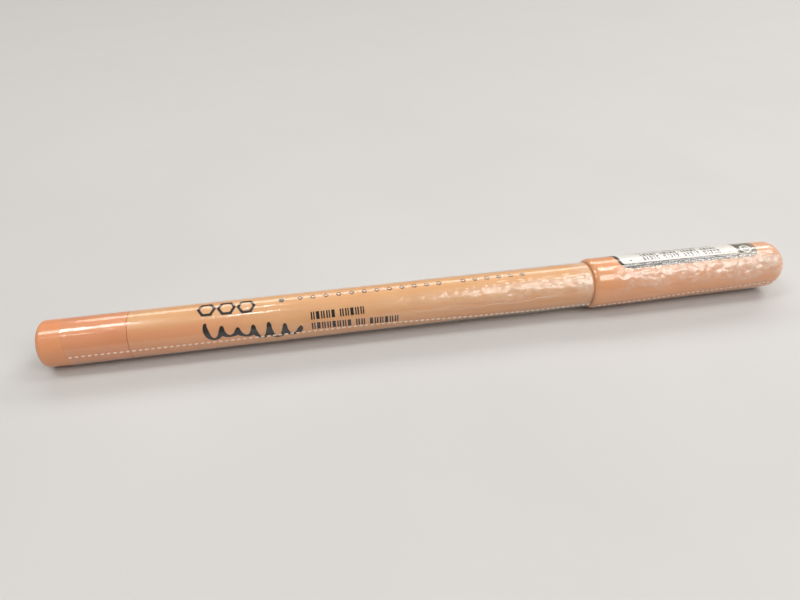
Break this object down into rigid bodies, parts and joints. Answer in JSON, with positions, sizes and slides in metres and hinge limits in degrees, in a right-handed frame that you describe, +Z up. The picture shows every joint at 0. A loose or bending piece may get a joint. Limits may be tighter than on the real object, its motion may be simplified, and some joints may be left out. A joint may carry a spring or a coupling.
{
  "type": "capped liner pencil",
  "caption": "Slim round cosmetic liner pencil with a pull-off tapered cap, flush tail plug, cap label and a clear perforated shrink sleeve.",
  "frame": {"origin": "on the surface that the pencil lies on, below the middle of its overall length", "axes": "+X runs along the pencil from the tail to the closed end of the cap, +Z is up from the surface, and -Y is the side with the sleeve's perforation line"},
  "size_m": [0.1374, 0.0096, 0.0096],
  "materials": {
    "barrel_plastic": "satin, tan gold",
    "cap_plastic": "gloss, copper orange",
    "tail_plastic": "high gloss, copper orange",
    "core_wax": "waxy, deep copper",
    "seal_plastic": "natural white moulding",
    "label_print": "gloss printed label",
    "clear_film": "clear, glossy, wrinkled"
  },
  "bodies": {
    "pencil": {"barrel": "barrel_plastic", "liner_core": "core_wax", "tail_plug": "tail_plastic", "barrel_film": "clear_film"},
    "cap": {"cap_shell": "cap_plastic", "cap_inner_seal": "seal_plastic", "cap_label": "label_print", "cap_film": "clear_film"}
  },
  "joints": [
    {"name": "cap_pull", "type": "slide", "parent": "pencil", "child": "cap", "axis": [1, 0, 0], "range_m": [0, 0.045]}
  ]
}
